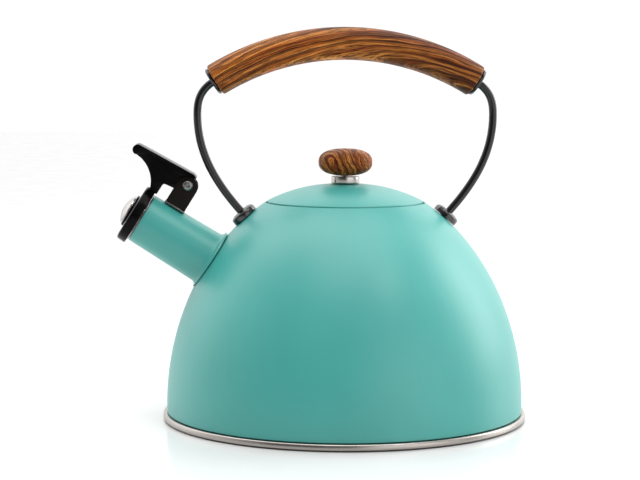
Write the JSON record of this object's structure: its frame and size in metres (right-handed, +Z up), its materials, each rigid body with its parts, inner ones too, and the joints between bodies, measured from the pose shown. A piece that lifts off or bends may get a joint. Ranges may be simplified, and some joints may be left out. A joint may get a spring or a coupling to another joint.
{
  "type": "stovetop whistling kettle",
  "caption": "Domed stovetop kettle with a slanted spout, a lever-opened whistle cap, a lift-off lid with a wooden knob, and a fixed wooden grip on two bent rods.",
  "frame": {"origin": "centre of the flat base, on the surface that the kettle stands on", "axes": "+Z up, -X out along the spout, the handle in the XZ plane"},
  "size_m": [0.236, 0.21, 0.2255],
  "materials": {
    "teal_paint": "satin teal enamel paint on steel",
    "steel": "fine brushed stainless steel",
    "black_coating": "semi-gloss black coating",
    "black_plastic": "smooth black heat-resistant plastic",
    "silicone": "dark grey silicone",
    "wood": "oiled wood with dark flowing grain",
    "aluminium": "plain"
  },
  "bodies": {
    "kettle": {"body_shell": "teal_paint", "bottom_pan": "steel", "seam_bead": "steel", "heat_spreader": "aluminium", "base_cap": "steel", "spout_tube": "teal_paint", "spout_lip": "steel", "hinge_saddle": "steel", "hinge_bracket": "black_coating", "hinge_pin": "steel", "hinge_spring": "steel", "grip": "wood", "left_grip_ferrule": "black_coating", "right_grip_ferrule": "black_coating", "left_rod": "black_coating", "right_rod": "black_coating", "left_boss": "black_coating", "right_boss": "black_coating", "left_boss_seal": "silicone", "right_boss_seal": "silicone", "left_stud_washer": "steel", "right_stud_washer": "steel", "left_stud_nut": "steel", "right_stud_nut": "steel"},
    "whistle_flap": {"whistle_lever": "black_plastic", "whistle_seal": "silicone", "whistle_cup": "steel", "whistle_plate": "steel", "whistle_collar": "black_plastic", "whistle_dome": "steel"},
    "lid": {"lid_cover": "teal_paint", "lid_skirt": "steel", "lid_seal": "silicone", "knob_ferrule": "steel", "knob": "wood", "knob_washer": "steel", "knob_screw": "steel"}
  },
  "joints": [
    {"name": "whistle_hinge", "type": "hinge", "parent": "kettle", "child": "whistle_flap", "pos_m": [-0.09037, 0, 0.13471], "axis": [0, 1, 0], "range_deg": [0, 48], "stiffness_Nm_per_rad": 0.03, "springref_deg": -51.57},
    {"name": "lid_lift", "type": "slide", "parent": "kettle", "child": "lid", "axis": [0, 0, 1], "range_m": [0, 0.042]}
  ]
}
